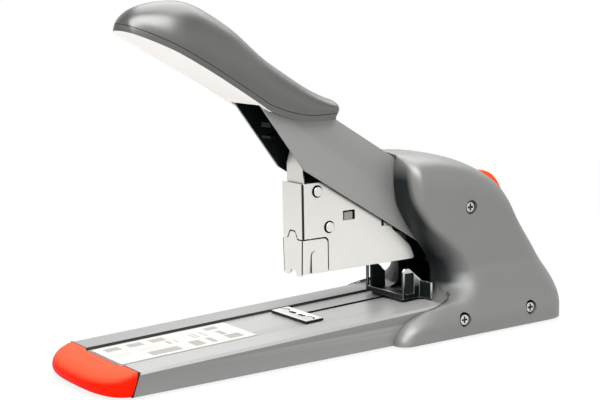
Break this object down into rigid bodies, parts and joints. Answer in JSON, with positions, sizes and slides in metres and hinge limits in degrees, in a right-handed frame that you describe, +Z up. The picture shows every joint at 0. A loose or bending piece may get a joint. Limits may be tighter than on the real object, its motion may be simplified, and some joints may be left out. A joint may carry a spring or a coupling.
{
  "type": "heavy-duty stapler",
  "caption": "Heavy-duty desk stapler with a long lever handle, front-loading magazine, sliding paper stop and a sprung release button.",
  "frame": {"origin": "centre of the footprint's bounding box, on the plane that the rubber feet stand on", "axes": "+Z up; -Y towards the nose and the orange front cap, +Y towards the rear housing; +X to the right of someone who stands behind the housing and looks at the nose, so that the picture's near side is +X"},
  "size_m": [0.086, 0.2781, 0.1741],
  "materials": {
    "base": "satin paint",
    "orange": "gloss",
    "label": "matt printed film",
    "black": "fine matt",
    "rubber": "matt",
    "plating": "nickel plated sheet",
    "steel": "bright",
    "dark_steel": "blackened steel",
    "painted": "satin paint",
    "shell": "satin",
    "pale": "gloss",
    "screw": "bright"
  },
  "bodies": {
    "base": {"base_channel": "base", "base_plate": "dark_steel", "foot_front_right": "rubber", "foot_front_left": "rubber", "foot_rear_right": "rubber", "foot_rear_left": "rubber", "instruction_plate": "label", "front_cap": "orange", "anvil_plate": "plating", "housing_right": "shell", "housing_left": "shell", "housing_screw_front_right": "screw", "housing_screw_front_left": "screw", "housing_screw_rear_right": "screw", "housing_screw_rear_left": "screw", "housing_screw_upper_right": "screw", "housing_screw_upper_left": "screw", "frame_right": "dark_steel", "frame_left": "dark_steel", "arm_axle": "steel", "magazine_axle": "steel", "latch_pin": "steel", "latch_spring": "steel", "return_spring": "steel"},
    "arm": {"arm_channel": "painted", "driver_pin": "steel", "handle_cover": "shell", "handle_pan": "pale", "arm_bush_right": "steel", "arm_bush_left": "steel"},
    "magazine": {"head_front_plate": "plating", "magazine_side_right": "plating", "magazine_side_left": "plating", "head_pin_upper": "plating", "head_pin_lower": "plating", "driver_guide": "dark_steel", "pusher_rod": "steel", "pusher_spring": "steel", "rod_bracket": "dark_steel", "carrier_right": "dark_steel", "carrier_left": "dark_steel", "carrier_bridge": "dark_steel"},
    "driver": {"driver_blade": "plating"},
    "rail": {"nose_casing": "plating", "staple_rail": "steel"},
    "pusher": {"pusher": "black"},
    "stop": {"stop_plate": "steel", "stop_slider": "black"},
    "button": {"release_button": "orange"},
    "latch": {"latch_lever": "dark_steel"}
  },
  "joints": [
    {"name": "arm_hinge", "type": "hinge", "parent": "base", "child": "arm", "pos_m": [0, 0.094, 0.0412], "axis": [1, 0, 0], "range_deg": [0, 22], "stiffness_Nm_per_rad": 1.2, "springref_deg": -34.38},
    {"name": "magazine_hinge", "type": "hinge", "parent": "base", "child": "magazine", "pos_m": [0, 0.117, 0.0292], "axis": [1, 0, 0], "range_deg": [0, 8.4], "deforming": ["return_spring"]},
    {"name": "driver_slide", "type": "slide", "parent": "magazine", "child": "driver", "axis": [0, 0, -1], "range_m": [0, 0.024]},
    {"name": "rail_slide", "type": "slide", "parent": "magazine", "child": "rail", "axis": [0, 1, 0], "range_m": [-0.05, 0]},
    {"name": "pusher_slide", "type": "slide", "parent": "magazine", "child": "pusher", "axis": [0, -1, 0], "range_m": [0, 0.017]},
    {"name": "stop_slide", "type": "slide", "parent": "base", "child": "stop", "axis": [0, -1, 0], "range_m": [0, 0.038]},
    {"name": "button_press", "type": "slide", "parent": "base", "child": "button", "axis": [0, -0.7193, -0.6947], "range_m": [0, 0.003], "stiffness_N_per_m": 400, "springref_m": -0.003},
    {"name": "latch_hinge", "type": "hinge", "parent": "base", "child": "latch", "pos_m": [0, 0.11, 0.05123], "axis": [1, 0, 0], "range_deg": [0, 12.4]}
  ],
  "couplings": [
    {"joint": "magazine_hinge", "follows": "arm_hinge", "ratio": 0.3818},
    {"joint": "driver_slide", "follows": "arm_hinge", "m_per_rad": 0.0625},
    {"joint": "latch_hinge", "follows": "button_press", "rad_per_m": 70}
  ]
}
